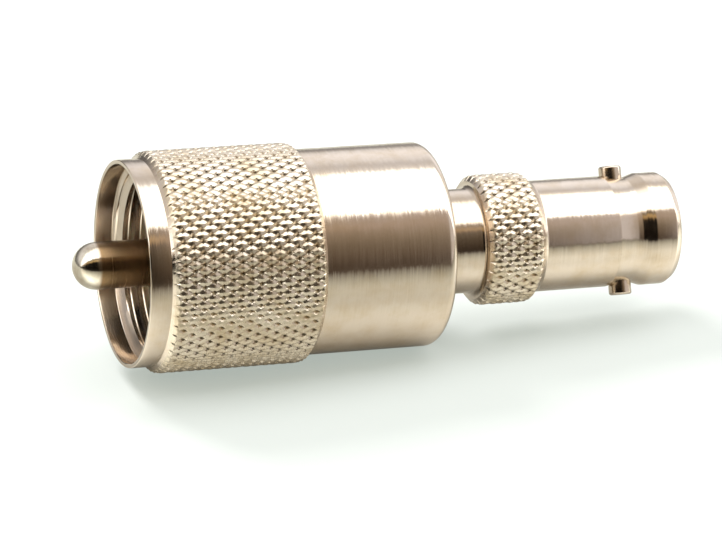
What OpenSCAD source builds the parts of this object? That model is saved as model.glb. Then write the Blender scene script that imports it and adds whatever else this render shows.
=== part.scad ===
// Inter-series coaxial adapter: BNC socket at one end, UHF plug at the other.
// It stands on the mouth of the BNC socket, with the UHF centre pin upwards.
// All lengths are in millimetres, and Z runs along the axis from the BNC mouth.

/* [BNC socket] */
// Inside diameter of the socket's outer conductor
socket_bore_d = 8.12; // [8:0.02:8.3]
// Depth of that bore
socket_depth = 8.4; // [7:0.1:9]
// Wall of the collar round the mouth
mouth_wall = 0.77; // [0.6:0.01:0.9]
// Length of the collar round the mouth
mouth_len = 2.4; // [2:0.1:3.2]
// Bevel on the mouth's outer edge
mouth_bevel = 0.35; // [0.1:0.05:0.5]
// Wall of the barrel behind the lugs
barrel_wall = 0.7; // [0.5:0.01:0.9]
// Length of the barrel between the waist and the knurled grip
barrel_len = 6.75; // [3:0.05:12]
// Wall at the floor of the waist that the lugs stand in
waist_wall = 0.4; // [0.3:0.01:0.45]
// Length of the waist
waist_len = 3.25; // [3:0.05:5]
// Length of the slope from the waist's floor to the mouth collar
waist_front_slope = 1.1; // [0.3:0.05:1.2]
// Length of the slope from the waist's floor to the barrel
waist_rear_slope = 1.7; // [0.2:0.05:1.8]

/* [Bayonet lugs] */
// Diameter of each lug
lug_d = 1.95; // [1.8:0.05:2.1]
// How far the lugs stand out beyond the mouth collar
lug_rise = 0.72; // [0.5:0.01:0.9]
// Distance from the front of the waist to the lugs' centre line
lug_in_waist = 1.95; // [1.5:0.05:2.2]
// Bevel on each lug's tip
lug_bevel = 0.12; // [0.05:0.01:0.25]

/* [Knurled grip] */
// How far the points of the grip's knurl stand out beyond the barrel
grip_rise = 0.79; // [0.7:0.01:1.6]
// Length of the grip, with both bevels
grip_len = 5.8; // [4.5:0.1:10]
// Length of the smooth bevel on the BNC side
grip_front_bevel = 0.4; // [0.2:0.05:0.8]
// Length of the smooth bevel on the nut's side
grip_rear_bevel = 0.4; // [0.3:0.05:1.2]

/* [Neck and spigot] */
// Wall of the spigot that carries the ferrule
spigot_wall = 0.75; // [0.5:0.01:1]
// Length of the spigot
spigot_len = 6.4; // [5.5:0.1:7]
// Height of the neck's shoulder, which the ferrule sits against
shoulder_rise = 0.45; // [0.3:0.01:0.6]
// Bare length of neck between the grip and the nut
neck_gap = 3.6; // [1:0.1:6]

/* [Coupling nut] */
// Nominal diameter of the nut's thread
thread_d = 15.875; // [15.8:0.005:15.95]
// Pitch of the nut's thread
thread_pitch = 1.058; // [0.9:0.002:1.2]
// Length of the threaded bore
thread_len = 11; // [8:0.1:12.5]
// Length of the bevel between the mouth's recess and the thread
lead_in = 0.52; // [0.3:0.02:0.9]
// How far the smooth recess in the nut's mouth lies outside the thread
recess_rise = 0.34; // [0.2:0.01:0.45]
// Depth of that recess
recess_depth = 1.54; // [0.8:0.02:2.5]
// How far the relief bore behind the thread lies outside it
relief_rise = 0.11; // [0.05:0.01:0.3]
// Wall of the nut's smooth part, over the relief bore
nut_wall = 0.6; // [0.5:0.01:1.2]
// Length of the nut
nut_len = 26.7; // [25.5:0.1:32]
// Radius of the nut's rounded rear edge
nut_edge = 0.9; // [0.3:0.05:1.2]
// Thickness of the flange that holds the nut on the neck
nut_floor = 2.7; // [1.5:0.1:3.5]
// Bevel on the outer edge of the nut's rim
rim_bevel = 0.12; // [0.05:0.01:0.2]
// How far the points of the nut's knurl stand out of its smooth part
nut_knurl_rise = 0.6; // [0.55:0.01:1.2]
// Distance from the nut's rear face to its knurl
nut_knurl_from = 11.6; // [6:0.1:12]
// Length of the nut's knurl
nut_knurl_len = 13.3; // [6:0.1:13.4]

/* [Knurling] */
// Distance from one knurl point to the next, round the part
knurl_pitch = 0.97; // [0.9:0.01:2]
// Angle of the knurl's grooves to the axis
knurl_angle = 30; // [25:1:40]
// Depth of the knurl's grooves
knurl_depth = 0.34; // [0.15:0.01:0.4]
// Length of the bevel at each end of a knurl
knurl_end = 0.2; // [0.1:0.02:0.4]

/* [UHF plug] */
// Diameter of the centre pin
pin_d = 3.96; // [3.8:0.02:4.1]
// How far the pin stands out of the ferrule
pin_reach = 12.7; // [11:0.1:14]
// How far the pin's flange stands out of the pin, behind the insulator
pin_flange_rise = 0.62; // [0.4:0.02:1]
// Thickness of that flange
pin_flange = 1.5; // [0.8:0.1:1.8]
// How far the pin is set in where it passes through the insulator
pin_seat_step = 0.24; // [0.18:0.01:0.35]
// How far the pin's stem behind the flange is set in
pin_stem_step = 0.4; // [0.2:0.02:0.6]
// Clearance between the ferrule and the crests of the nut's thread
ferrule_clearance = 0.265; // [0.1:0.005:0.5]
// Length of the ferrule, with its nose
ferrule_len = 15.2; // [14:0.1:16]
// Inside diameter of the ferrule at its insulator
ferrule_bore_d = 9.8; // [9.2:0.05:10.4]
// Wall of the ferrule's nose, which enters the mating jack
nose_wall = 0.95; // [0.6:0.01:1.1]
// Length of that nose
nose_len = 3.6; // [2.5:0.1:4.5]
// Bevel on the nose's front edge
nose_bevel = 0.3; // [0.1:0.05:0.5]
// Length of the insulator in the ferrule
uhf_insulator_len = 6.5; // [5:0.1:6.8]
// Width of each locating tooth
tooth_w = 1.6; // [1:0.1:2.4]
// Height of each locating tooth
tooth_h = 0.7; // [0.4:0.05:1]

/* [Contact] */
// Diameter of the contact's socket
contact_bore_d = 1.36; // [1.3:0.01:1.4]
// Depth of the contact's socket
contact_bore_len = 5.4; // [4.5:0.1:7]
// Wall of the contact
contact_wall = 0.4; // [0.3:0.01:0.5]
// How far the contact's tip lies behind the insulator's nose
contact_inset = 0.25; // [0.1:0.05:0.6]
// Width of the slots between the contact's fingers
contact_slot_w = 0.2; // [0.12:0.01:0.22]
// Length of those slots
contact_slot_len = 4.1; // [3:0.1:4.4]
// How far the collar that stops the contact stands out of it
contact_collar_rise = 0.42; // [0.25:0.01:0.8]
// Length of that collar
contact_collar_len = 1; // [0.6:0.1:2]
// How far the contact's tail, which fits into the pin, is set in
tail_step = 0.33; // [0.2:0.01:0.45]
// Length of that tail
tail_len = 3.6; // [2:0.1:4.5]

/* [Insulators] */
// Wall of the insulator's nose round the contact, in the BNC socket
bnc_nose_wall = 1.34; // [1.1:0.01:1.5]
// Distance from the BNC mouth to the insulator's nose
bnc_nose_from_mouth = 3.3; // [3:0.05:3.6]
// Length of the BNC insulator behind the socket's floor
bnc_insulator_len = 7.6; // [4:0.1:10]
// Diameter of the insulators inside the shell
bead_d = 6.5; // [6.2:0.05:6.7]
// Height of the shoulders in the shell that stop them
web_step = 0.75; // [0.4:0.01:1]
// Length of the supporting bead at the shell's rear
bead_len = 4; // [3:0.1:4.3]
// How far the bead is set back into the spigot
bead_inset = 5.2; // [4.8:0.1:5.6]

/* [Fits] */
// Clearance between pieces that are fitted to each other
fit_gap = 0.02; // [0.01:0.01:0.05]
// Clearance all round between the neck and the nut
nut_clearance = 0.5; // [0.2:0.05:0.6]
// Play along the axis between the nut and the ferrule
nut_play = 0.3; // [0.2:0.05:0.6]

/* [Hidden] */
$fn = 96;

nickel = [0.78, 0.74, 0.68];
gold = [0.86, 0.68, 0.32];
ptfe = [0.95, 0.95, 0.92];

// Stations along the axis, from the BNC mouth to the tip of the pin
waist_z = mouth_len;
lug_z = waist_z + lug_in_waist;
barrel_z = waist_z + waist_len;
grip_z = barrel_z + barrel_len;
neck_z = grip_z + grip_len;
nut_z = neck_z + neck_gap;
ferrule_z = nut_z + nut_floor + nut_play;
spigot_end_z = ferrule_z + spigot_len;
face_z = ferrule_z + ferrule_len;
insulator_seat_z = face_z - uhf_insulator_len;
rim_z = nut_z + nut_len;
recess_z = rim_z - recess_depth;
lip_z = recess_z - lead_in;
pin_flange_z = insulator_seat_z - pin_flange;
tip_z = face_z + pin_reach;
contact_z = bnc_nose_from_mouth + contact_inset;
bnc_seat_z = socket_depth + bnc_insulator_len;
bead_z = spigot_end_z - bead_inset - bead_len;
pin_rear_z = bead_z + bead_len;

// Diameters, from the axis outwards
contact_d = contact_bore_d + 2 * contact_wall;
contact_collar_d = contact_d + 2 * contact_collar_rise;
tail_d = contact_d - 2 * tail_step;
pin_flange_d = pin_d + 2 * pin_flange_rise;
pin_seat_d = pin_d - 2 * pin_seat_step;
pin_stem_d = pin_d - 2 * pin_stem_step;
bnc_nose_d = contact_d + 2 * bnc_nose_wall;
web_d = bead_d - 2 * web_step;
spigot_d = bead_d + 2 * spigot_wall;
neck_d = spigot_d + 2 * shoulder_rise;
waist_d = socket_bore_d + 2 * waist_wall;
barrel_d = socket_bore_d + 2 * barrel_wall;
mouth_d = socket_bore_d + 2 * mouth_wall;
lug_span = mouth_d + 2 * lug_rise;
grip_d = barrel_d + 2 * grip_rise;
nose_d = ferrule_bore_d + 2 * nose_wall;
thread_minor_d = thread_d - 1.0825 * thread_pitch;
ferrule_d = thread_minor_d - 2 * ferrule_clearance;
recess_d = thread_d + 2 * recess_rise;
relief_d = thread_d + 2 * relief_rise;
nut_bore_d = neck_d + 2 * nut_clearance;
nut_d = relief_d + 2 * nut_wall;
nut_knurl_d = nut_d + 2 * nut_knurl_rise;

// How far a knurl's bevelled ends lie below its grooves
knurl_end_drop = knurl_depth / 4;
// How far those ends stand out of the grip's turned surface
knurl_step = 0.08;
grip_base_d = grip_d - 2 * (knurl_depth + knurl_end_drop + knurl_step);
// How deep a knurled band or a thread is let into the turned surface that carries it
let_in = 0.15;
arc_steps = 6;
tip_steps = 12;

// Thread groove: corners as shares of the pitch, and how deep each of them lies
groove_shares = [0, 5 / 16, 7 / 16, 3 / 4];
groove_depths = [0, 1, 1, 0];
thread_columns = 48;
// Part of a turn over which the groove runs in and out
thread_fade = 0.25;
// Length and extra radius of the plain lip between the lead-in and the thread
lip_len = 0.25;
lip_rise = 0.03;

// Points along an arc, from one angle to another, as [radius, height]
function arc(centre, radius, from, to, steps) =
    [for (i = [0:steps]) let (a = from + (to - from) * i / steps)
        centre + radius * [cos(a), sin(a)]];

// A turned solid from its half section, given as [radius, height] points
module turned(section) {
    rotate_extrude() polygon(section);
}

// Knurl points round a diameter: a multiple of four, so the part is alike on all sides
function knurl_count(d) = 4 * round(PI * d / knurl_pitch / 4);

// Rows of knurl points along a length: an even number
function knurl_rows(d, len) =
    2 * round(len * tan(knurl_angle) * knurl_count(d) / (PI * d));

// Diamond-knurled band. Points and groove crossings take turns along each ring,
// and the next ring has them the other way round. Each four-cornered cell is
// folded along the groove that crosses it.
module knurled_band(tip_d, base_d, z, len) {
    root_r = tip_d / 2 - knurl_depth;
    inner_r = base_d / 2 - let_in;
    end_r = root_r - knurl_end_drop;
    n = 2 * knurl_count(tip_d);
    rows = knurl_rows(tip_d, len - 2 * knurl_end);
    pitch = (len - 2 * knurl_end) / rows;
    function is_point(row, col) = (row + col) % 2 == 1;
    function row_r(row, col) = !is_point(row, col) ? root_r
        : row == 0 || row == rows ? root_r + knurl_depth / 2 : tip_d / 2;
    function ring(z, radii) = [for (c = [0:n - 1]) let (a = 360 * c / n)
        [radii[c] * cos(a), radii[c] * sin(a), z]];
    function even_ring(z, r) = ring(z, [for (c = [0:n - 1]) r]);
    rings = concat(
        [even_ring(z, inner_r), even_ring(z, end_r)],
        [for (row = [0:rows])
            ring(z + knurl_end + row * pitch, [for (c = [0:n - 1]) row_r(row, c)])],
        [even_ring(z + len, end_r), even_ring(z + len, inner_r)]);
    count = len(rings);
    cells = [for (k = [0:count - 1], c = [0:n - 1])
        let (k2 = (k + 1) % count, c2 = (c + 1) % n,
            a = k * n + c, b = k * n + c2, d = k2 * n + c2, e = k2 * n + c)
        is_point(k, c) ? [[a, e, b], [b, e, d]] : [[a, d, b], [a, e, d]]];
    polyhedron(
        points = [for (r = rings, p = r) p],
        faces = [for (cell = cells, face = cell) face]);
}

// Turned shell: BNC socket, grip, neck and the spigot that the ferrule goes on
module shell_body() {
    mouth_r = mouth_d / 2;
    barrel_r = barrel_d / 2;
    grip_base_r = grip_base_d / 2;
    neck_r = neck_d / 2;
    bead_r = bead_d / 2;
    turned([
        [socket_bore_d / 2, 0],
        [mouth_r - mouth_bevel, 0],
        [mouth_r, 1.6 * mouth_bevel],
        [mouth_r, waist_z],
        [waist_d / 2, waist_z + waist_front_slope],
        [waist_d / 2, barrel_z - waist_rear_slope],
        [(waist_d + barrel_d) / 4, barrel_z],
        [barrel_r, barrel_z],
        [barrel_r, grip_z],
        [grip_base_r, grip_z + grip_front_bevel],
        [grip_base_r, neck_z - grip_rear_bevel],
        [neck_r, neck_z],
        [neck_r, ferrule_z],
        [spigot_d / 2, ferrule_z],
        [spigot_d / 2, spigot_end_z],
        [bead_r, spigot_end_z],
        [bead_r, bead_z],
        [web_d / 2, bead_z],
        [web_d / 2, bnc_seat_z],
        [bead_r, bnc_seat_z],
        [bead_r, socket_depth],
        [socket_bore_d / 2, socket_depth]
    ]);
}

module bnc_shell() {
    color(nickel) difference() {
        union() {
            shell_body();
            knurled_band(grip_d, grip_base_d, grip_z + grip_front_bevel,
                grip_len - grip_front_bevel - grip_rear_bevel);
        }
        at_lugs() translate([0, 0, socket_bore_d / 4])
            cylinder(d = lug_d + 2 * fit_gap, h = lug_span);
    }
}

// Places its child at both lugs, with the child's Z pointing outwards
module at_lugs() {
    for (side = [0, 180])
        rotate([0, 0, side]) translate([0, 0, lug_z]) rotate([0, 90, 0]) children();
}

// Two pins pressed into the waist of the shell
module bayonet_lugs() {
    foot = socket_bore_d / 2 + fit_gap;
    color(nickel) at_lugs() turned([
        [0, foot],
        [lug_d / 2, foot],
        [lug_d / 2, lug_span / 2 - lug_bevel],
        [lug_d / 2 - lug_bevel, lug_span / 2],
        [0, lug_span / 2]
    ]);
}

// Sleeve that centres the contact in the BNC socket
module bnc_insulator() {
    bore_r = contact_d / 2 + fit_gap;
    color(ptfe) turned([
        [bore_r, bnc_nose_from_mouth],
        [bnc_nose_d / 2, bnc_nose_from_mouth],
        [bnc_nose_d / 2, socket_depth],
        [bead_d / 2 - fit_gap, socket_depth],
        [bead_d / 2 - fit_gap, bnc_seat_z],
        [bore_r, bnc_seat_z]
    ]);
}

// Contact with four fingers at the BNC end and a tail that fits into the pin
module socket_contact() {
    color(gold) difference() {
        turned([
            [contact_bore_d / 2, contact_z],
            [contact_d / 2, contact_z],
            [contact_d / 2, bnc_seat_z],
            [contact_collar_d / 2, bnc_seat_z],
            [contact_collar_d / 2, bnc_seat_z + contact_collar_len],
            [contact_d / 2, bnc_seat_z + contact_collar_len],
            [contact_d / 2, pin_rear_z],
            [tail_d / 2, pin_rear_z],
            [tail_d / 2, pin_rear_z + tail_len],
            [0, pin_rear_z + tail_len],
            [0, contact_z + contact_bore_len],
            [contact_bore_d / 2, contact_z + contact_bore_len]
        ]);
        for (turn = [45, 135])
            rotate([0, 0, turn])
                translate([-contact_d, -contact_slot_w / 2, contact_z - contact_slot_len])
                    cube([2 * contact_d, contact_slot_w, 2 * contact_slot_len]);
    }
}

// Bead that carries the contact in the rear of the shell
module support_bead() {
    color(ptfe) turned([
        [contact_d / 2 + fit_gap, bead_z],
        [bead_d / 2 - fit_gap, bead_z],
        [bead_d / 2 - fit_gap, bead_z + bead_len],
        [contact_d / 2 + fit_gap, bead_z + bead_len]
    ]);
}

// Outer contact of the UHF plug, with four teeth that lock into the jack's rim
module uhf_ferrule() {
    shoulder_z = face_z - nose_len;
    color(nickel) union() {
        turned([
            [spigot_d / 2 + fit_gap, ferrule_z],
            [ferrule_d / 2, ferrule_z],
            [ferrule_d / 2, shoulder_z],
            [nose_d / 2, shoulder_z],
            [nose_d / 2, face_z - nose_bevel],
            [nose_d / 2 - nose_bevel, face_z],
            [ferrule_bore_d / 2, face_z],
            [ferrule_bore_d / 2, insulator_seat_z],
            [spigot_d / 2 + fit_gap, insulator_seat_z]
        ]);
        intersection() {
            turned([
                [(nose_d + ferrule_bore_d) / 4, shoulder_z - tooth_h],
                [ferrule_d / 2, shoulder_z - tooth_h],
                [ferrule_d / 2, shoulder_z + tooth_h],
                [(nose_d + ferrule_bore_d) / 4, shoulder_z + tooth_h]
            ]);
            union() for (turn = [45, 135])
                rotate([0, 0, turn]) translate([-ferrule_d, -tooth_w / 2, ferrule_z])
                    cube([2 * ferrule_d, tooth_w, ferrule_len]);
        }
    }
}

// Disc that centres the pin in the ferrule
module uhf_insulator() {
    color(ptfe) turned([
        [pin_seat_d / 2 + fit_gap, insulator_seat_z],
        [ferrule_bore_d / 2 - fit_gap, insulator_seat_z],
        [ferrule_bore_d / 2 - fit_gap, face_z],
        [pin_seat_d / 2 + fit_gap, face_z]
    ]);
}

// UHF centre pin with a round tip
module centre_pin() {
    pin_r = pin_d / 2;
    stem_r = pin_stem_d / 2;
    color(nickel) turned(concat(
        [
            [tail_d / 2 + fit_gap, pin_rear_z],
            [stem_r, pin_rear_z],
            [stem_r, pin_flange_z],
            [pin_flange_d / 2, pin_flange_z],
            [pin_flange_d / 2, insulator_seat_z],
            [pin_seat_d / 2, insulator_seat_z],
            [pin_seat_d / 2, face_z],
            [pin_r, face_z]
        ],
        arc([0, tip_z - pin_r], pin_r, 0, 90, tip_steps),
        [
            [0, pin_rear_z + tail_len + fit_gap],
            [tail_d / 2 + fit_gap, pin_rear_z + tail_len + fit_gap]
        ]));
}

// Internal thread: a ring at the crests' diameter, with one right-hand groove round it.
// Each row of points follows the helix and meets the row one turn above at the seam.
module threaded_ring(z, len) {
    n = thread_columns;
    crest_r = thread_minor_d / 2;
    depth = (thread_d - thread_minor_d) / 2;
    outer_r = relief_d / 2 + let_in;
    turns = floor(len / thread_pitch) - 1;
    start_z = z + (len - (turns + 1) * thread_pitch) / 2;
    last = 4 * turns;
    function fade(turn) = max(0, min(1, turn / thread_fade, (turns - turn) / thread_fade));
    function groove_point(row, col) =
        let (turn = floor(row / 4) + col / n, k = row % 4,
            r = crest_r + depth * groove_depths[k] * fade(turn), a = 360 * col / n)
        [r * cos(a), r * sin(a), start_z + (turn + groove_shares[k]) * thread_pitch];
    function ring(r, z) = [for (col = [0:n - 1]) let (a = 360 * col / n)
        [r * cos(a), r * sin(a), z]];
    points = concat(
        ring(outer_r, z), ring(crest_r, z),
        [for (row = [0:last], col = [0:n - 1]) groove_point(row, col)],
        [for (row = [last + 1:last + 4]) groove_point(row, 0)],
        ring(crest_r, z + len), ring(outer_r, z + len));
    first = 2 * n;
    run_out = first + (last + 1) * n;
    top = run_out + 4;
    function low(col) = n + col % n;
    function high(col) = top + col % n;
    function at(row, col) = col < n ? first + row * n + col
        : row + 4 <= last ? first + (row + 4) * n : run_out + row + 3 - last;
    function quad(a, b, c, d) = [[a, b, c], [a, c, d]];
    seam_low = concat([low(n - 1), low(0)], [for (row = [0:4]) at(row, 0)]);
    seam_high = concat([for (row = [last - 4:last]) at(row, n)], [high(0), high(1)]);
    cells = concat(
        [for (row = [0:last - 1], col = [0:n - 1])
            quad(at(row, col), at(row, col + 1), at(row + 1, col + 1), at(row + 1, col))],
        [for (col = [0:n - 2]) quad(low(col), low(col + 1), at(0, col + 1), at(0, col))],
        [[for (k = [0:5]) [at(0, n - 1), seam_low[k], seam_low[k + 1]]]],
        [for (col = [1:n - 1])
            quad(at(last, col), at(last, col + 1), high(col + 1), high(col))],
        [[for (k = [0:5]) [at(last, 1), seam_high[k + 1], seam_high[k]]]],
        [for (col = [0:n - 1]) let (next = (col + 1) % n)
            quad(col, next, low(next), low(col))],
        [for (col = [0:n - 1]) let (next = (col + 1) % n)
            quad(high(col), high(next), top + n + next, top + n + col)],
        [for (col = [0:n - 1]) let (next = (col + 1) % n)
            quad(next, col, top + n + col, top + n + next)]);
    polyhedron(points = points, faces = [for (cell = cells, face = cell) face]);
}

// Coupling nut: turned and bored, without the knurl and the thread
module nut_body() {
    nut_r = nut_d / 2;
    lip_r = thread_minor_d / 2 + lip_rise;
    turned(concat(
        [[nut_bore_d / 2, nut_z]],
        arc([nut_r - nut_edge, nut_z + nut_edge], nut_edge, -90, 0, arc_steps),
        [
            [nut_r, rim_z - rim_bevel],
            [nut_r - rim_bevel, rim_z],
            [recess_d / 2, rim_z],
            [recess_d / 2, recess_z],
            [lip_r, lip_z],
            [lip_r, lip_z - lip_len],
            [relief_d / 2, lip_z - lip_len],
            [relief_d / 2, nut_z + nut_floor],
            [nut_bore_d / 2, nut_z + nut_floor]
        ]));
}

module coupling_nut() {
    color(nickel) union() {
        nut_body();
        knurled_band(nut_knurl_d, nut_d, nut_z + nut_knurl_from, nut_knurl_len);
        threaded_ring(lip_z - thread_len, thread_len - lip_len / 2);
    }
}

bnc_shell();
bayonet_lugs();
bnc_insulator();
socket_contact();
support_bead();
uhf_ferrule();
uhf_insulator();
centre_pin();
coupling_nut();
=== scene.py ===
"""Looks of a BNC to UHF coaxial adapter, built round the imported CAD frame.

In the frame the part stands on its BNC mouth, with its axis along Z. The photograph shows it
lying on its coupling nut, so the camera and the floor are turned to match.
Section points and sizes are in millimetres, and each finished mesh is in metres.
"""

import math

import bmesh
import bpy
from mathutils import Matrix, Vector

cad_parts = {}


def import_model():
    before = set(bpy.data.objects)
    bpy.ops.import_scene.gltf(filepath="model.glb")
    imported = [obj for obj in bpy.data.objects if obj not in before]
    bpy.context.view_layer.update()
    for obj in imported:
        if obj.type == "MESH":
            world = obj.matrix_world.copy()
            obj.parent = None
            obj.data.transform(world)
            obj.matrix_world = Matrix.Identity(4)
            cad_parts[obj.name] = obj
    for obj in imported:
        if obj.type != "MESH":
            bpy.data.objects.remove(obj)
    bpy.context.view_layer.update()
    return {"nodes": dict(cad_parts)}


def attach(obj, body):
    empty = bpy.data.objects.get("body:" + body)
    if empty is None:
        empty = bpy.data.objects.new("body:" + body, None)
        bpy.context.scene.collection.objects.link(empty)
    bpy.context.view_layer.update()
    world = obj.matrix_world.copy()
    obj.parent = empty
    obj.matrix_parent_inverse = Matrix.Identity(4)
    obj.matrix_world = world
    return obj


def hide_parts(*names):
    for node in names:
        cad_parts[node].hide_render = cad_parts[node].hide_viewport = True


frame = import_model()

MM = 0.001

# Stations along the axis, from the BNC mouth
WAIST_Z, BARREL_Z, GRIP_Z, NECK_Z = 2.4, 5.65, 12.4, 18.2
NUT_Z, FERRULE_Z, SPIGOT_END_Z = 21.8, 24.8, 31.2
PIN_FLANGE_Z, PIN_SEAT_Z, FACE_Z, RIM_Z, TIP_Z = 32.0, 33.5, 40.0, 48.5, 52.7
BNC_NOSE_Z, LUG_Z, SOCKET_FLOOR_Z, BNC_SEAT_Z, BEAD_Z = 3.3, 4.35, 8.4, 16.0, 22.0

# Radii of the turned parts, and of the lugs' tips
CONTACT_R, PIN_R, PIN_SEAT_R, PIN_STEM_R, PIN_FLANGE_R = 1.08, 1.98, 1.74, 1.58, 2.6
BNC_NOSE_R, WEB_R, BEAD_R, SPIGOT_R, NECK_R = 2.42, 2.5, 3.25, 4.0, 4.45
SOCKET_R, WAIST_R, BARREL_R, MOUTH_R, GRIP_BASE_R = 4.06, 4.46, 4.76, 4.83, 5.045
NUT_BORE_R, NOSE_R, UHF_BORE_R, FERRULE_R = 4.95, 5.85, 4.9, 7.1
THREAD_R, THREAD_CREST_R, RELIEF_R, RECESS_R, NUT_R = 7.9375, 7.365, 8.0475, 8.2775, 8.6475
LUG_R, LUG_TIP_R = 0.975, 5.55
THREAD_PITCH = 1.058
FIT_GAP = 0.02

# Fineness of the meshes: points round a ring and steps round a softened corner, which takes
# up a share of its sides at most. Folds sharper than CREASE, in degrees, stay sharp.
COLUMNS = 240
CORNER_STEPS, CORNER_SHARE = 3, 0.4
CREASE = 28

# The knurl: low pyramids between two sets of grooves, with a steep pit at each crossing.
# The shares and flats are parts of KNURL_DEPTH and of half the distance between points.
KNURL_STEPS = 6
KNURL_DEPTH = 0.385
KNURL_END, KNURL_END_SLOPE = 0.2, 1.2
PIT_SHARE, PIT_REACH = 0.71, 0.5
GROOVE_FLAT, POINT_FLAT = 0.08, 0.83
DIMPLE, DIMPLE_FROM = 0.02, 0.95


# ---------------------------------------------------------------- mesh helpers


class Surface:
    """Rings of points round the Z axis, and the faces between them. The knurled faces are
    kept as ranges, because they get the piece's second material."""

    def __init__(self):
        self.points = []
        self.faces = []
        self.knurled = []

    def point(self, radius, angle, z):
        self.points.append((radius * math.cos(angle), radius * math.sin(angle), z))
        return len(self.points) - 1

    def ring(self, radius, z, columns=COLUMNS):
        turn = math.tau / columns
        return [self.point(radius, i * turn, z) for i in range(columns)]

    def join(self, ring, following):
        """Faces between two rings with the same number of points."""
        for i in range(len(ring)):
            j = (i + 1) % len(ring)
            self.faces.append((ring[i], following[i], following[j], ring[j]))

    def stitch(self, ring, following):
        """Triangles between two rings whose points lie at different angles."""
        first, second = self.by_angle(ring), self.by_angle(following)
        i = j = 0
        while i < len(ring) or j < len(following):
            a, b = first[i % len(first)], second[j % len(second)]
            next_a = first[(i + 1) % len(first)]
            next_b = second[(j + 1) % len(second)]
            angle_a = next_a[0] + (math.tau if i + 1 >= len(first) else 0)
            angle_b = next_b[0] + (math.tau if j + 1 >= len(second) else 0)
            if j >= len(following) or (i < len(ring) and angle_a <= angle_b):
                self.faces.append((a[1], b[1], next_a[1]))
                i += 1
            else:
                self.faces.append((a[1], b[1], next_b[1]))
                j += 1

    def by_angle(self, ring):
        """The ring's points with their angles, in order round the axis."""
        placed = []
        for index in ring:
            x, y, _ = self.points[index]
            angle = math.atan2(y, x) % math.tau
            placed.append((0.0 if angle > math.tau - 1e-6 else angle, index))
        return sorted(placed)

    def turn(self, section, columns=COLUMNS, closed=True):
        """Turns a section of [radius, z] points, and returns its first and last ring."""
        rings = [self.ring(r, z, columns) for r, z in section]
        for ring, following in zip(rings, rings[1:]):
            self.join(ring, following)
        if closed:
            self.join(rings[-1], rings[0])
        return rings[0], rings[-1]

    def piece(self, name):
        """A new object from the surface, smooth except where it folds sharply."""
        mesh = bpy.data.meshes.new(name)
        mesh.from_pydata([(x * MM, y * MM, z * MM) for x, y, z in self.points], [], self.faces)
        for start, end in self.knurled:
            for face in mesh.polygons[start:end]:
                face.material_index = 1
        shape = bmesh.new()
        shape.from_mesh(mesh)
        bmesh.ops.remove_doubles(shape, verts=shape.verts, dist=1e-7)
        bmesh.ops.dissolve_degenerate(shape, edges=shape.edges, dist=1e-8)
        bmesh.ops.recalc_face_normals(shape, faces=shape.faces)
        for face in shape.faces:
            face.smooth = True
        for edge in shape.edges:
            edge.smooth = edge.calc_face_angle(math.pi) < math.radians(CREASE)
        shape.to_mesh(mesh)
        shape.free()
        piece = bpy.data.objects.new(name, mesh)
        bpy.context.scene.collection.objects.link(piece)
        return piece


def soften(section, radius, closed=True):
    """The section with its corners rounded, and the two ends of an open one kept."""
    softened = []
    for i, (r, z) in enumerate(section):
        corner = Vector((r, z))
        if not closed and i in (0, len(section) - 1) or r == 0:
            softened.append((r, z))
            continue
        before = Vector(section[i - 1]) - corner
        after = Vector(section[(i + 1) % len(section)]) - corner
        start = corner + before.normalized() * min(radius, CORNER_SHARE * before.length)
        end = corner + after.normalized() * min(radius, CORNER_SHARE * after.length)
        for k in range(CORNER_STEPS + 1):
            t = k / CORNER_STEPS
            point = start * (1 - t) ** 2 + corner * 2 * t * (1 - t) + end * t**2
            softened.append((point.x, point.y))
    return softened


def arc(centre_r, centre_z, radius, start, end, steps):
    """Points along an arc in the section, from one angle to another, in degrees."""
    angles = [math.radians(start + (end - start) * k / steps) for k in range(steps + 1)]
    return [(centre_r + radius * math.cos(a), centre_z + radius * math.sin(a)) for a in angles]


def insulator(name, section):
    """A plastic ring turned from a closed section, with softened corners."""
    surface = Surface()
    surface.turn(soften(section, 0.08), columns=144)
    return surface.piece(name)


def knurl_height(u, v):
    """Height of the knurl, from 0 where its grooves cross to 1 at its points. The points
    are 2 apart in u and in v."""
    first = abs((u + v) % 2 - 1)
    second = abs((u - v) % 2 - 1)
    inside = min(first, second)
    slope = min(max(0.0, inside - GROOVE_FLAT) / (POINT_FLAT - GROOVE_FLAT), 1.0)
    dimple = DIMPLE if inside > DIMPLE_FROM else 0.0
    pit = max(0.0, 1 - max(first, second) / PIT_REACH)
    return PIT_SHARE * (1 - pit) + (1 - PIT_SHARE) * slope - dimple


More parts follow.
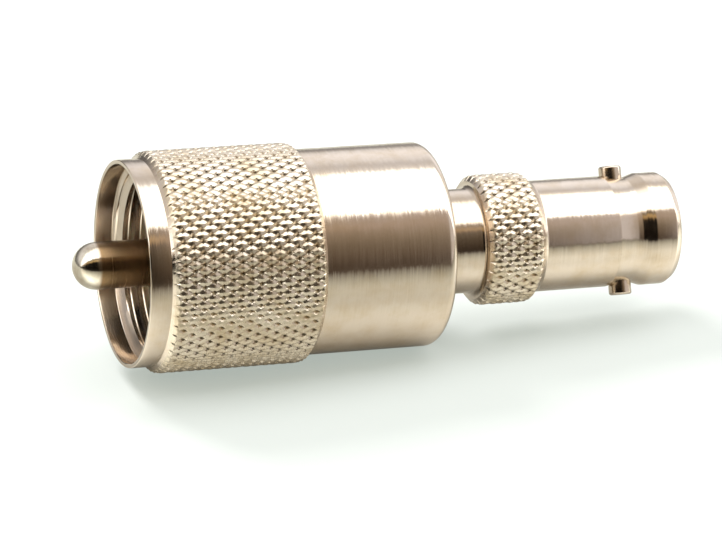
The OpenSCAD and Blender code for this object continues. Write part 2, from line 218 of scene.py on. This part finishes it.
def knurl(surface, tip_r, end_r, z, length, count, rows):
    """Diamond knurl between two plain rings, which are returned. It has count points round
    the axis and rows of half a diamond along it, and slopes down to end_r at both ends."""
    columns, lines = 2 * count * KNURL_STEPS, rows * KNURL_STEPS
    pitch = (length - 2 * KNURL_END) / lines
    root_r = tip_r - KNURL_DEPTH
    first_face = len(surface.faces)
    rings = []
    for j in range(lines + 1):
        line_z = z + KNURL_END + j * pitch
        bevel_r = end_r + KNURL_END_SLOPE * min(line_z - z, z + length - line_z)
        ring = []
        for i in range(columns):
            height = knurl_height(i / KNURL_STEPS, j / KNURL_STEPS)
            radius = min(root_r + KNURL_DEPTH * height, bevel_r)
            ring.append(surface.point(radius, i * math.tau / columns, line_z))
        rings.append(ring)
    for j in range(lines):
        low, high = rings[j], rings[j + 1]
        for i in range(columns):
            k = (i + 1) % columns
            # Each quad is split in the direction of the groove that crosses its cell
            if (i // KNURL_STEPS + j // KNURL_STEPS) % 2:
                surface.faces += [(low[i], low[k], high[k]), (low[i], high[k], high[i])]
            else:
                surface.faces += [(low[i], low[k], high[i]), (low[k], high[k], high[i])]
    surface.knurled.append((first_face, len(surface.faces)))
    plain = []
    for edge, plain_z in ((rings[0], z), (rings[-1], z + length)):
        ring = surface.ring(end_r, plain_z)
        surface.stitch(ring, edge)
        plain.append(ring)
    return plain


# ---------------------------------------------------------------- pieces


def coupling_nut():
    """The nut, with its knurl, rounded rear edge, recess and a real helical thread."""
    edge, bevel, relief_cone = 0.9, 0.12, 0.34
    floor_z = NUT_Z + 2.7
    recess_z = RIM_Z - 1.54
    crest_z = recess_z - 0.52
    relief_z = crest_z - 11
    mouth_r = RECESS_R - 0.04
    knurl_z, knurl_len, knurl_rise = NUT_Z + 11.6, 13.3, 0.6
    surface = Surface()
    rear = [(RELIEF_R, floor_z), (NUT_BORE_R, floor_z), (NUT_BORE_R, NUT_Z)]
    rear = soften(rear + [(NUT_R - edge, NUT_Z)], bevel, closed=False)
    rear += arc(NUT_R - edge, NUT_Z + edge, edge, -84, 0, 14)
    first, last = surface.turn(rear, closed=False)
    low, high = knurl(surface, NUT_R + knurl_rise, NUT_R, knurl_z, knurl_len, count=60, rows=16)
    surface.join(last, low)
    front = [
        (NUT_R, knurl_z + knurl_len),
        (NUT_R, RIM_Z),
        (RECESS_R, RIM_Z),
        (RECESS_R, recess_z),
        (mouth_r, recess_z),
    ]
    following, rim = surface.turn(soften(front, bevel, closed=False)[1:], closed=False)
    surface.join(high, following)
    inner, outer = thread(surface, relief_z, crest_z, recess_z, mouth_r)
    surface.stitch(rim, outer)
    relief = surface.ring(RELIEF_R, relief_z - relief_cone)
    surface.stitch(inner, relief)
    surface.join(relief, first)
    return surface.piece("coupling_nut_body")


def thread(surface, start_z, crest_z, mouth_z, mouth_r):
    """Right-hand internal thread: rows of points follow the helix, cut off at both ends.
    Above crest_z a cone opens it to the mouth."""
    columns, turns = 120, 12
    # Height of the crest along one turn: flat crest, flank, rounded root, flank
    profile = [(0.0, 1.0), (0.1, 1.0), (0.42, 0.06), (0.5, 0.0), (0.58, 0.06), (0.9, 1.0),
               (1.0, 1.0)]
    shares = [0.0, 0.1, 0.26, 0.42, 0.5, 0.58, 0.74, 0.9]
    step = math.tau / columns

    def crest_height(share):
        share %= 1.0
        for (a, low), (b, high) in zip(profile, profile[1:]):
            if a <= share <= b:
                return low + (high - low) * (share - a) / (b - a)

    def radius(z, share):
        plain = THREAD_R - (THREAD_R - THREAD_CREST_R) * crest_height(share)
        if z <= crest_z:
            return plain
        opened = (z - crest_z) / (mouth_z - crest_z)
        return max(plain, THREAD_CREST_R + (mouth_r - THREAD_CREST_R) * opened)

    rows = []
    for turn in range(-1, turns):
        for share in shares:
            row = []
            for i in range(columns + 1):
                z = start_z + (turn + share + i / columns) * THREAD_PITCH
                z = min(max(z, start_z), mouth_z)
                place = (z - start_z) / THREAD_PITCH - i / columns
                row.append(surface.point(radius(z, place), i * step, z))
            rows.append(row)
    for row, following in zip(rows, rows[1:]):
        for i in range(columns):
            surface.faces.append((row[i], following[i], following[i + 1], row[i + 1]))
    return rows[0][:-1], rows[-1][:-1]


def bnc_shell():
    """The shell: BNC socket, waist, knurled grip, neck and spigot."""
    mouth_bevel, mouth_bevel_len = 0.35, 0.56
    front_slope, rear_slope, waist_step = 1.1, 1.7, 0.15
    grip_bevel, grip_rise, grip_fillet, softness = 0.4, 0.79, 0.4, 0.07
    knurl_z = GRIP_Z + grip_bevel
    knurl_len = NECK_Z - grip_fillet - knurl_z
    surface = Surface()
    front = [
        (SOCKET_R, SOCKET_FLOOR_Z),
        (SOCKET_R, 0),
        (MOUTH_R - mouth_bevel, 0),
        (MOUTH_R, mouth_bevel_len),
        (MOUTH_R, WAIST_Z),
        (WAIST_R, WAIST_Z + front_slope),
        (WAIST_R, BARREL_Z - rear_slope),
        (WAIST_R + waist_step, BARREL_Z),
        (BARREL_R, BARREL_Z),
        (BARREL_R, GRIP_Z),
        (GRIP_BASE_R, knurl_z),
    ]
    first, last = surface.turn(soften(front, softness, closed=False), closed=False)
    low, high = knurl(surface, BARREL_R + grip_rise, GRIP_BASE_R, knurl_z, knurl_len,
                      count=36, rows=6)
    surface.join(last, low)
    rise = GRIP_BASE_R - NECK_R
    shoulder = [
        (GRIP_BASE_R - rise * math.cos(t), NECK_Z - grip_fillet * math.sin(t))
        for t in (math.radians(15 * k) for k in range(7))
    ]
    rear = [
        (NECK_R, FERRULE_Z),
        (SPIGOT_R, FERRULE_Z),
        (SPIGOT_R, SPIGOT_END_Z),
        (BEAD_R, SPIGOT_END_Z),
        (BEAD_R, BEAD_Z),
        (WEB_R, BEAD_Z),
        (WEB_R, BNC_SEAT_Z),
        (BEAD_R, BNC_SEAT_Z),
        (BEAD_R, SOCKET_FLOOR_Z),
        (SOCKET_R, SOCKET_FLOOR_Z),
    ]
    rear = shoulder[-2::-1] + soften([shoulder[0]] + rear, softness, closed=False)[1:-1]
    following, last = surface.turn(rear, closed=False)
    surface.join(high, following)
    surface.join(last, first)
    return surface.piece("bnc_shell_body")


def bayonet_lugs():
    """Two pins with softly bevelled tips, pressed into the waist."""
    foot, bevel = SOCKET_R + FIT_GAP, 0.12
    section = [
        (0, foot),
        (LUG_R, foot),
        (LUG_R, LUG_TIP_R - bevel),
        (LUG_R - bevel, LUG_TIP_R),
        (0, LUG_TIP_R),
    ]
    lug = soften(section, 0.05)
    surface = Surface()
    for side in (1, -1):
        start = len(surface.points)
        surface.turn(lug, columns=64, closed=False)
        for i in range(start, len(surface.points)):
            x, y, z = surface.points[i]
            surface.points[i] = (side * z, y, LUG_Z - side * x)
    return surface.piece("bayonet_lug_pins")


def centre_pin():
    """The UHF pin, with the bore in its rear end for the contact's tail."""
    stem_z, bore_end_z, bore_r = 26.0, 29.62, 0.77
    section = [
        (0, bore_end_z),
        (bore_r, bore_end_z),
        (bore_r, stem_z),
        (PIN_STEM_R, stem_z),
        (PIN_STEM_R, PIN_FLANGE_Z),
        (PIN_FLANGE_R, PIN_FLANGE_Z),
        (PIN_FLANGE_R, PIN_SEAT_Z),
        (PIN_SEAT_R, PIN_SEAT_Z),
        (PIN_SEAT_R, FACE_Z),
        (PIN_R, FACE_Z),
    ]
    section = soften(section, 0.05, closed=False)
    section += arc(0, TIP_Z - PIN_R, PIN_R, 0, 90, 24)
    surface = Surface()
    surface.turn(section, columns=128, closed=False)
    return surface.piece("centre_pin_body")


def uhf_ferrule():
    """The plug's outer contact, with four locating teeth on its shoulder."""
    shoulder_z, nose_bevel = 36.4, 0.3
    section = [
        (SPIGOT_R + FIT_GAP, FERRULE_Z),
        (FERRULE_R, FERRULE_Z),
        (FERRULE_R, shoulder_z),
        (NOSE_R, shoulder_z),
        (NOSE_R, FACE_Z - nose_bevel),
        (NOSE_R - nose_bevel, FACE_Z),
        (UHF_BORE_R, FACE_Z),
        (UHF_BORE_R, PIN_SEAT_Z),
        (SPIGOT_R + FIT_GAP, PIN_SEAT_Z),
    ]
    surface = Surface()
    surface.turn(soften(section, 0.06))
    for turn in (45, 135, 225, 315):
        tooth(surface, math.radians(turn), shoulder_z)
    return surface.piece("uhf_ferrule_body")


def tooth(surface, turn, z):
    """One tooth: a block across the shoulder, let into it and bevelled round its top."""
    half_width, height, bevel, let_in = 0.8, 0.7, 0.1, 0.3
    inner_r = NOSE_R - let_in
    outer_r = FERRULE_R - 0.03
    levels = [(z - let_in, 0.0), (z + height - bevel, 0.0), (z + height, bevel)]
    rings = []
    for level, inset in levels:
        half, outer = half_width - inset, outer_r - inset
        inner_turn, outer_turn = math.atan2(half, inner_r), math.atan2(half, outer)
        corners = [
            (math.hypot(inner_r, half), -inner_turn),
            (outer, -outer_turn),
            (outer, outer_turn),
            (math.hypot(inner_r, half), inner_turn),
        ]
        rings.append([surface.point(radius, turn + side, level) for radius, side in corners])
    for ring, following in zip(rings, rings[1:]):
        surface.join(ring, following)
    surface.faces.append(tuple(rings[0]))
    surface.faces.append(tuple(rings[-1]))


def bnc_insulator():
    """The insulator that centres the contact in the BNC socket."""
    bore_r = CONTACT_R + FIT_GAP
    section = [
        (bore_r, BNC_NOSE_Z),
        (BNC_NOSE_R, BNC_NOSE_Z),
        (BNC_NOSE_R, SOCKET_FLOOR_Z),
        (BEAD_R - FIT_GAP, SOCKET_FLOOR_Z),
        (BEAD_R - FIT_GAP, BNC_SEAT_Z),
        (bore_r, BNC_SEAT_Z),
    ]
    return insulator("bnc_insulator_body", section)


def uhf_insulator():
    """The insulator round the pin in the ferrule."""
    section = [
        (PIN_SEAT_R + FIT_GAP, PIN_SEAT_Z),
        (UHF_BORE_R - FIT_GAP, PIN_SEAT_Z),
        (UHF_BORE_R - FIT_GAP, FACE_Z),
        (PIN_SEAT_R + FIT_GAP, FACE_Z),
    ]
    return insulator("uhf_insulator_body", section)


# ---------------------------------------------------------------- materials

# Noise in the metal. Scales and the fade are per metre, and spacing and height in metres.
# The gloss values say how much rougher streaks and tarnish make the metal.
STREAK_SCALE, PATCH_SCALE, SPECK_SCALE = 260.0, 420.0, 2600.0
MARK_SPACING, MARK_STRENGTH, MARK_HEIGHT = 0.00011, 0.6, 3e-6
STREAK_GLOSS, TARNISH_GLOSS, TARNISH_FADE = 0.14, 0.1, 2200.0


def srgb(red, green, blue):
    """A colour given as it looks on screen, from 0 to 255, as linear light."""
    return tuple(
        c / 12.92 if c <= 0.04045 else ((c + 0.055) / 1.055) ** 2.4
        for c in (red / 255, green / 255, blue / 255)
    ) + (1.0,)


class Nodes:
    """Short way to add nodes to a material or a world and link them."""

    def __init__(self, tree):
        self.tree = tree
        tree.nodes.clear()

    def add(self, kind, inputs=(), **settings):
        """A new node, with a link or a constant on each named or numbered input."""
        node = self.tree.nodes.new(kind)
        for key, value in settings.items():
            setattr(node, key, value)
        for key, value in dict(inputs).items():
            if isinstance(value, bpy.types.NodeSocket):
                self.tree.links.new(value, node.inputs[key])
            else:
                node.inputs[key].default_value = value
        return node

    def math(self, operation, *values):
        node = self.add("ShaderNodeMath", dict(enumerate(values)), operation=operation)
        return node.outputs[0]

    def mix(self, factor, first, second, blend="MIX"):
        node = self.add("ShaderNodeMix", {0: factor, 6: first, 7: second},
                        data_type="RGBA", blend_type=blend)
        return node.outputs[2]

    def ramp(self, factor, stops):
        node = self.add("ShaderNodeValToRGB", {0: factor})
        ramp = node.color_ramp
        ramp.elements.remove(ramp.elements[1])
        for i, (place, colour) in enumerate(stops):
            element = ramp.elements[0] if i == 0 else ramp.elements.new(place)
            element.position = place
            element.color = colour
        return node.outputs[0]


def turning_marks(nodes, spacing):
    """Noise that runs round the Z axis and changes along the section, with that spacing."""
    place = nodes.add("ShaderNodeTexCoord").outputs["Object"]
    parts = nodes.add("ShaderNodeSeparateXYZ", {0: place}).outputs
    reach = nodes.math("SQRT", nodes.math("ADD", nodes.math("MULTIPLY", parts[0], parts[0]),
                                          nodes.math("MULTIPLY", parts[1], parts[1])))
    along = nodes.math("MULTIPLY", nodes.math("ADD", parts[2], reach), 1 / spacing)
    round_x = nodes.math("MULTIPLY", parts[0], STREAK_SCALE)
    round_y = nodes.math("MULTIPLY", parts[1], STREAK_SCALE)
    vector = nodes.add("ShaderNodeCombineXYZ", {0: round_x, 1: round_y, 2: along}).outputs[0]
    noise = nodes.add("ShaderNodeTexNoise", {"Vector": vector, "Scale": 1.0, "Detail": 5.0,
                                             "Roughness": 0.65})
    return noise.outputs[0]


def new_material(name):
    """A new material, and its empty node tree."""
    material = bpy.data.materials.new(name)
    material.use_nodes = True
    return material, Nodes(material.node_tree)


def metal(name, clean, stained, roughness, anisotropy=0.7, grit=0.35, waver=0.14, clean_from=None):
    """Turned and plated metal: streaks from turning, patchy tarnish and uneven gloss. Grit adds
    fine specks to the marks, and waver tilts the streaks along the part. With clean_from, a height
    in millimetres, all below it takes the stained colour in full and is darker."""
    material, nodes = new_material(name)
    streaks = turning_marks(nodes, MARK_SPACING)
    place = nodes.add("ShaderNodeTexCoord").outputs["Object"]
    patches = nodes.add("ShaderNodeTexNoise", {"Vector": place, "Scale": PATCH_SCALE,
                                               "Detail": 6.0, "Roughness": 0.6}).outputs[0]
    specks = nodes.add("ShaderNodeTexNoise", {"Vector": place, "Scale": SPECK_SCALE,
                                              "Detail": 3.0, "Roughness": 0.5}).outputs[0]
    tarnish = nodes.ramp(patches, [(0.42, (0, 0, 0, 1)), (0.72, (1, 1, 1, 1))])
    strength = nodes.math("ADD", 0.35, nodes.math("MULTIPLY", streaks, 0.9))
    tarnish = nodes.math("MULTIPLY", tarnish, strength)
    # Below clean_from the colour is the stained one in full, darker than above it.
    if clean_from:
        height = nodes.add("ShaderNodeSeparateXYZ", {0: place}).outputs[2]
        below = nodes.math("SUBTRACT", clean_from * MM, height)
        below = nodes.math("MULTIPLY", below, TARNISH_FADE)
        tarnish = nodes.math("MAXIMUM", tarnish, nodes.math("MINIMUM", below, 1.0))
    colour = nodes.mix(tarnish, clean, stained)
    uneven = nodes.math("MULTIPLY", streaks, STREAK_GLOSS)
    gloss = nodes.math("ADD", roughness - STREAK_GLOSS / 2, uneven)
    gloss = nodes.math("ADD", gloss, nodes.math("MULTIPLY", tarnish, TARNISH_GLOSS))
    height = nodes.math("ADD", streaks, nodes.math("MULTIPLY", specks, grit))
    bump = nodes.add("ShaderNodeBump", {"Strength": MARK_STRENGTH, "Distance": MARK_HEIGHT,
                                        "Height": height})
    tangent = nodes.add("ShaderNodeTangent", direction_type="RADIAL", axis="Z").outputs[0]
    lean = nodes.math("MULTIPLY", nodes.math("SUBTRACT", streaks, 0.5), waver)
    lean = nodes.add("ShaderNodeVectorMath", {0: tangent, "Scale": lean}, operation="SCALE")
    normal = nodes.add("ShaderNodeVectorMath", {0: bump.outputs[0], 1: lean.outputs[0]})
    normal = nodes.add("ShaderNodeVectorMath", {0: normal.outputs[0]}, operation="NORMALIZE")
    shader = nodes.add("ShaderNodeBsdfPrincipled", {
        "Base Color": colour,
        "Metallic": 1.0,
        "Roughness": gloss,
        "Anisotropic": anisotropy,
        "Anisotropic Rotation": 0.25,
        "Normal": normal.outputs[0],
        "Tangent": tangent,
    })
    nodes.add("ShaderNodeOutputMaterial", {0: shader.outputs[0]})
    return material


def ptfe(name):
    """Waxy white plastic with faint cutting marks."""
    material, nodes = new_material(name)
    streaks = turning_marks(nodes, 2 * MARK_SPACING)
    colour = nodes.ramp(streaks, [(0.3, srgb(226, 222, 208)), (0.7, srgb(243, 241, 232))])
    gloss = nodes.math("ADD", 0.36, nodes.math("MULTIPLY", streaks, 0.18))
    bump = nodes.add("ShaderNodeBump", {"Strength": 0.35, "Distance": 4e-6, "Height": streaks})
    shader = nodes.add("ShaderNodeBsdfPrincipled", {
        "Base Color": colour,
        "Roughness": gloss,
        "IOR": 1.38,
        "Subsurface Weight": 0.25,
        "Subsurface Scale": 0.0008,
        "Normal": bump.outputs[0],
    })
    nodes.add("ShaderNodeOutputMaterial", {0: shader.outputs[0]})
    return material


def dress(piece, material, body=None, node=None, knurled=None):
    """Gives the piece its material, a new one its body as well, and a knurled one a second
    material for the knurl. The CAD node that a new piece replaces is hidden."""
    if piece.data.materials:
        piece.data.materials.clear()
    piece.data.materials.append(material)
    if knurled:
        piece.data.materials.append(knurled)
    if body:
        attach(piece, body)
    if node:
        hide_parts(node)


# ---------------------------------------------------------------- stage, light and camera

# The floor touches the nut's rear edge and the rear end of its knurl. These are the floor's
# normal, the point on it that is nearest to the origin, and its direction away from the camera.
# The extent of the floor and the distances of the lamp are in metres.
FLOOR_NORMAL = Vector((0.9135, -0.4029, 0.0559)).normalized()
FLOOR_POINT = -FLOOR_NORMAL * (7.37 * MM)
BEHIND = Vector((0, 0, 1)).cross(FLOOR_NORMAL).normalized()


def floor():
    """Pale floor, which ends a little way in front of the part and far behind it. Part of its
    light is a glow, with the larger share for the camera, which keeps the shadow pale. For the
    metal's reflections the floor's colour and glow are painted shade: a painted shadow under the
    part, and painted shade that darkens it towards the camera, so the metal mirrors a floor that
    is palest just in front of the part."""
    near, far, start, end = -0.1, 0.7, -0.775, 0.825
    camera_glow, mirrored_glow, fade_length = 0.45, 0.15, 0.1
    paper_colour, glow_colour = (0.56, 0.57, 0.56, 1), (0.90, 1.0, 0.92, 1)
    along = FLOOR_NORMAL.cross(BEHIND)
    corners = [
        FLOOR_POINT + BEHIND * depth + along * across
        for depth, across in ((near, start), (near, end), (far, end), (far, start))
    ]
    mesh = bpy.data.meshes.new("floor")
    mesh.from_pydata(corners, [], [(0, 3, 2, 1)])
    plane = bpy.data.objects.new("floor", mesh)
    bpy.context.scene.collection.objects.link(plane)
    material, nodes = new_material("pale_floor")
    place = nodes.add("ShaderNodeTexCoord").outputs["Object"]
    reach = nodes.add("ShaderNodeVectorMath", {0: place, 1: tuple(-BEHIND)},
                      operation="DOT_PRODUCT").outputs["Value"]
    # For rays other than the camera's, the floor's colour and glow are painted shade: a painted
    # shadow darkens it under the part, and painted shade darkens it towards the camera, so it is
    # palest just in front of the part.
    mirrored_painted_shade = nodes.ramp(nodes.math("MULTIPLY", reach, 1 / fade_length), [
        (0.0, (0.36, 0.36, 0.32, 1)),
        (0.055, (0.94, 0.95, 0.87, 1)),
        (0.08, (0.95, 0.96, 0.88, 1)),
        (0.15, (0.64, 0.64, 0.57, 1)),
        (0.22, (0.46, 0.46, 0.40, 1)),
        (0.35, (0.33, 0.33, 0.28, 1)),
        (0.55, (0.22, 0.215, 0.185, 1)),
        (0.95, (0.10, 0.085, 0.07, 1)),
    ])
    seen = nodes.add("ShaderNodeLightPath").outputs["Is Camera Ray"]
    paper_colour = nodes.mix(seen, mirrored_painted_shade, paper_colour)
    glow_colour = nodes.mix(seen, mirrored_painted_shade, glow_colour)
    paper = nodes.add("ShaderNodeBsdfDiffuse", {"Color": paper_colour}).outputs[0]
    glow = nodes.add("ShaderNodeEmission", {"Color": glow_colour}).outputs[0]
    share = nodes.math("MULTIPLY", seen, camera_glow - mirrored_glow)
    share = nodes.math("ADD", mirrored_glow, share)
    top = nodes.add("ShaderNodeMixShader", {0: share, 1: paper, 2: glow}).outputs[0]
    clear = nodes.add("ShaderNodeBsdfTransparent").outputs[0]
    back_side = nodes.add("ShaderNodeNewGeometry").outputs["Backfacing"]
    shader = nodes.add("ShaderNodeMixShader", {0: back_side, 1: top, 2: clear})
    nodes.add("ShaderNodeOutputMaterial", {0: shader.outputs[0]})
    mesh.materials.append(material)


def lamp():
    """A soft lamp above and behind the part, towards the nut's mouth. It throws the part's
    shadow forward on the floor, and the metal doesn't mirror it."""
    above, behind, aside, aim_z = 0.33, 0.33, 0.12, 30
    aim = FLOOR_POINT + Vector((0, 0, aim_z)) * MM
    place = aim + FLOOR_NORMAL * above + BEHIND * behind + Vector((0, 0, aside))
    light = bpy.data.lights.new("window", "AREA")
    light.shape = "DISK"
    light.size = 0.2
    light.energy = 2.9
    rig = bpy.data.objects.new("window", light)
    turn = (place - aim).to_track_quat("Z", "Y").to_matrix()
    rig.matrix_world = Matrix.Translation(place) @ turn.to_4x4()
    rig.visible_glossy = False
    bpy.context.scene.collection.objects.link(rig)


def grey(level, red=1.0, green=1.0, blue=1.0):
    """Light of that level, with a tint."""
    return (level * red, level * green, level * blue, 1.0)


def world():
    """A studio in bands round the Z axis: softbox above, pale backdrop behind the part and
    a dark room on the camera's side. It is darker towards +Z, where the nut's mouth points,
    and pale towards -Z. The camera itself sees plain white.
    Angles are in degrees: 0 is towards the camera, 90 above the part and 180 behind it."""
    bands = [
        (-180, grey(0.3, 1, 0.9, 0.8)),
        (-120, grey(0.2, 1, 0.85, 0.7)),
        (-60, grey(0.12, 1, 0.75, 0.55)),
        (-30, grey(0.095, 1, 0.69, 0.45)),
        (-22, grey(0.105, 1, 0.69, 0.45)),
        (-11, grey(0.177, 1, 0.72, 0.47)),
        (0, grey(0.265, 1, 0.765, 0.52)),
        (11, grey(0.426, 1, 0.79, 0.58)),
        (20, grey(0.57, 1, 0.806, 0.67)),
        (31, grey(0.62, 1, 0.83, 0.72)),
        (33, grey(0.75, 1, 0.9, 0.85)),
        (36, grey(3.2)),
        (88, grey(3.2)),
        (92, grey(1.25, 1, 0.98, 0.98)),
        (97, grey(1.0, 1, 0.98, 0.99)),
        (103, grey(0.85, 1, 0.98, 1.0)),
        (108, grey(1.1, 1, 0.99, 1.02)),
        (118, grey(1.35, 1, 0.99, 1.02)),
        (128, grey(1.45, 1, 0.99, 1.02)),
        (138, grey(1.15, 1, 0.98, 0.99)),
        (146, grey(0.4, 1, 0.96, 0.94)),
        (180, grey(0.3, 1, 0.9, 0.8)),
    ]
    far_bands = [
        (-180, grey(0.05, 1, 0.85, 0.7)),
        (-60, grey(0.008, 1, 0.7, 0.5)),
        (15, grey(0.008, 1, 0.7, 0.5)),
        (19, grey(0.7, 1, 0.66, 0.3)),
        (23, grey(0.75, 1, 0.7, 0.33)),
        (26, grey(0.22, 1, 0.76, 0.5)),
        (31, grey(0.35, 1, 0.78, 0.55)),
        (33, grey(1.2, 1, 0.9, 0.75)),
        (36, grey(2.8)),
        (70, grey(2.8)),
        (90, grey(0.9, 1, 0.96, 0.93)),
        (122, grey(0.9, 1, 0.96, 0.95)),
        (146, grey(0.2, 1, 0.96, 0.94)),
        (180, grey(0.05, 1, 0.85, 0.7)),
    ]
    scene_world = bpy.data.worlds.new("studio")
    bpy.context.scene.world = scene_world
    scene_world.use_nodes = True
    nodes = Nodes(scene_world.node_tree)
    direction = nodes.add("ShaderNodeTexCoord").outputs["Generated"]
    parts = nodes.add("ShaderNodeSeparateXYZ", {0: direction}).outputs
    angle = nodes.math("ARCTAN2", parts[0], nodes.math("MULTIPLY", parts[1], -1.0))
    share = nodes.math("ADD", nodes.math("MULTIPLY", angle, 1 / math.tau), 0.5)
    light, far_light = (
        nodes.ramp(share, [((place + 180) / 360, colour) for place, colour in stops])
        for stops in (bands, far_bands)
    )
    height = nodes.math("ADD", nodes.math("MULTIPLY", parts[2], 0.5), 0.5)
    toward = nodes.ramp(height, [(0.0, grey(0)), (0.345, grey(0)), (0.365, grey(0.3)),
                                 (0.5, grey(0.85)), (0.56, grey(1)), (1.0, grey(1))])
    away = nodes.ramp(height, [(0.0, grey(1)), (0.2, grey(1)), (0.285, grey(0)), (1.0, grey(0))])
    light = nodes.mix(toward, light, far_light)
    pale = nodes.mix(1.0, light, grey(0.85, 1, 0.94, 0.93), "LIGHTEN")
    light = nodes.mix(away, light, pale)
    studio = nodes.add("ShaderNodeBackground", {"Color": light, "Strength": 1.0})
    white = nodes.add("ShaderNodeBackground", {"Color": (1, 1, 1, 1), "Strength": 1.0})
    seen = nodes.add("ShaderNodeLightPath").outputs["Is Camera Ray"]
    shader = nodes.add("ShaderNodeMixShader", {0: seen, 1: studio.outputs[0], 2: white.outputs[0]})
    nodes.add("ShaderNodeOutputWorld", {0: shader.outputs[0]})


def camera():
    """Looks at the side of the part and a little into the nut, with the axis lying down. It
    is the camera that was fitted to the rims, edges and outlines in the photograph."""
    place = Vector((-15.857, -326.083, 139.914)) * MM
    forward = Vector((0.04125, 0.94475, -0.32519)).normalized()
    up = Vector((0.99562, -0.06621, -0.06606))
    right = forward.cross(up).normalized()
    up = right.cross(forward)
    lens = bpy.data.cameras.new("camera")
    lens.sensor_width = 36.0
    lens.lens = 204.14
    lens.clip_start = 0.01
    lens.clip_end = 10.0
    rig = bpy.data.objects.new("camera", lens)
    turn = Matrix((right, up, -forward)).transposed()
    rig.matrix_world = Matrix.Translation(place) @ turn.to_4x4()
    bpy.context.scene.collection.objects.link(rig)
    bpy.context.scene.camera = rig


# ---------------------------------------------------------------- the scene

bpy.context.scene.view_settings.view_transform = "Standard"
camera()
world()
floor()
lamp()

nickel = metal("nickel", (0.645, 0.56, 0.47, 1), (0.56, 0.45, 0.32, 1), 0.14)
knurled_nickel = metal("knurled_nickel", (0.65, 0.575, 0.47, 1), (0.49, 0.385, 0.235, 1), 0.26,
                       anisotropy=0.0, grit=1.5, waver=0.0)
pin_plate = metal("pin_plate", (0.78, 0.73, 0.62, 1), (0.27, 0.175, 0.09, 1), 0.15,
                  clean_from=TIP_Z - 1.6)
gold = metal("gold", (0.93, 0.70, 0.33, 1), (0.80, 0.55, 0.24, 1), 0.26)
white_ptfe = ptfe("ptfe")

dress(coupling_nut(), nickel, "nut", "coupling_nut", knurled_nickel)
dress(bnc_shell(), nickel, "connector", "bnc_shell", knurled_nickel)
dress(bayonet_lugs(), nickel, "connector", "bayonet_lugs")
dress(uhf_ferrule(), nickel, "connector", "uhf_ferrule")
dress(centre_pin(), pin_plate, "connector", "centre_pin")
dress(bnc_insulator(), white_ptfe, "connector", "bnc_insulator")
dress(uhf_insulator(), white_ptfe, "connector", "uhf_insulator")
dress(frame["nodes"]["socket_contact"], gold)
dress(frame["nodes"]["support_bead"], white_ptfe)
